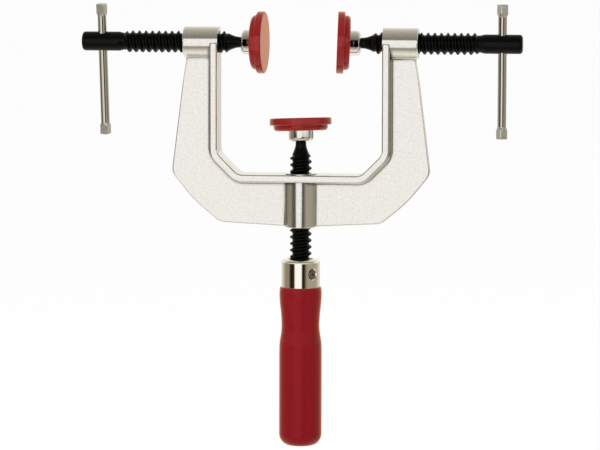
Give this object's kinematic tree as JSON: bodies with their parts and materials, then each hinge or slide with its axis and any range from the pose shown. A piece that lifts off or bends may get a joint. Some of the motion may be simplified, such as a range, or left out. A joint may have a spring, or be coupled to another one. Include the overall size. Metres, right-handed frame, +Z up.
{
  "type": "edge clamp",
  "caption": "Edging clamp: a U-shaped cast frame with two opposed side screws and a third screw through its yoke, each pressing through a swivelling round pad.",
  "frame": {"origin": "middle of the handle's lower end, which is the lowest point of the upright clamp", "axes": "+Z up along the centre screw from the handle to the pad, +X across the throat along the side screws, -Y towards the camera"},
  "size_m": [0.3014, 0.044, 0.3034],
  "materials": {
    "frame_silver_paint": "satin silver-white paint over an as-cast surface",
    "spindle_black": "black oxide, lightly oiled",
    "bar_zinc": "bright zinc plate, drawn lengthways",
    "ring_spring_steel": "plain spring steel",
    "plate_zinc": "zinc plate, turned",
    "cap_red_plastic": "glossy red, moulded",
    "ferrule_nickel": "nickel plate, polished",
    "pin_spring_steel": "plain spring steel",
    "handle_red_wood": "red lacquer over turned hardwood"
  },
  "bodies": {
    "frame": {"frame": "frame_silver_paint"},
    "left_ring": {"left_retaining_ring": "ring_spring_steel"},
    "left_screw": {"left_spindle": "spindle_black"},
    "left_pad": {"left_pressure_plate": "plate_zinc", "left_pad_cap": "cap_red_plastic"},
    "left_bar": {"left_tommy_bar": "bar_zinc"},
    "right_ring": {"right_retaining_ring": "ring_spring_steel"},
    "right_screw": {"right_spindle": "spindle_black"},
    "right_pad": {"right_pressure_plate": "plate_zinc", "right_pad_cap": "cap_red_plastic"},
    "right_bar": {"right_tommy_bar": "bar_zinc"},
    "centre_ring": {"centre_retaining_ring": "ring_spring_steel"},
    "centre_screw": {"centre_spindle": "spindle_black", "ferrule": "ferrule_nickel", "ferrule_pin": "pin_spring_steel", "handle": "handle_red_wood"},
    "centre_pad": {"centre_pressure_plate": "plate_zinc", "centre_pad_cap": "cap_red_plastic"}
  },
  "joints": [
    {"name": "left_spin", "type": "hinge", "parent": "left_ring", "child": "left_screw", "pos_m": [-0.0363, 0, 0.2766], "axis": [1, 0, 0], "range_deg": [-1120.1, 1920.1]},
    {"name": "left_advance", "type": "slide", "parent": "frame", "child": "left_ring", "axis": [1, 0, 0], "range_m": [-0.014, 0.024]},
    {"name": "left_pad_swivel", "type": "hinge", "parent": "left_ring", "child": "left_pad", "pos_m": [-0.0363, 0, 0.2766], "axis": [0, 0, 1], "range_deg": [-7.4, 10.6]},
    {"name": "left_bar_slide", "type": "slide", "parent": "left_screw", "child": "left_bar", "axis": [0, -0.1564, 0.9877], "range_m": [-0.0105, 0.0497]},
    {"name": "right_spin", "type": "hinge", "parent": "right_ring", "child": "right_screw", "pos_m": [0.0363, 0, 0.2766], "axis": [-1, 0, 0], "range_deg": [-1120.1, 1920.1]},
    {"name": "right_advance", "type": "slide", "parent": "frame", "child": "right_ring", "axis": [-1, 0, 0], "range_m": [-0.014, 0.024]},
    {"name": "right_pad_swivel", "type": "hinge", "parent": "right_ring", "child": "right_pad", "pos_m": [0.0363, 0, 0.2766], "axis": [0, 0, 1], "range_deg": [-15.3, 2.7]},
    {"name": "right_bar_slide", "type": "slide", "parent": "right_screw", "child": "right_bar", "axis": [0, 0, 1], "range_m": [-0.0113, 0.0489]},
    {"name": "centre_spin", "type": "hinge", "parent": "centre_ring", "child": "centre_screw", "pos_m": [0, 0, 0.2137], "axis": [0, 0, 1], "range_deg": [-1624.2, 1720.2]},
    {"name": "centre_advance", "type": "slide", "parent": "frame", "child": "centre_ring", "axis": [0, 0, 1], "range_m": [-0.0203, 0.0215]},
    {"name": "centre_pad_swivel", "type": "hinge", "parent": "centre_ring", "child": "centre_pad", "pos_m": [0, 0, 0.2137], "axis": [1, 0, 0], "range_deg": [-4.9, 13.1]}
  ],
  "couplings": [
    {"joint": "left_spin", "follows": "left_advance", "rad_per_m": 1396.3},
    {"joint": "right_spin", "follows": "right_advance", "rad_per_m": 1396.3},
    {"joint": "centre_spin", "follows": "centre_advance", "rad_per_m": 1396.3}
  ]
}
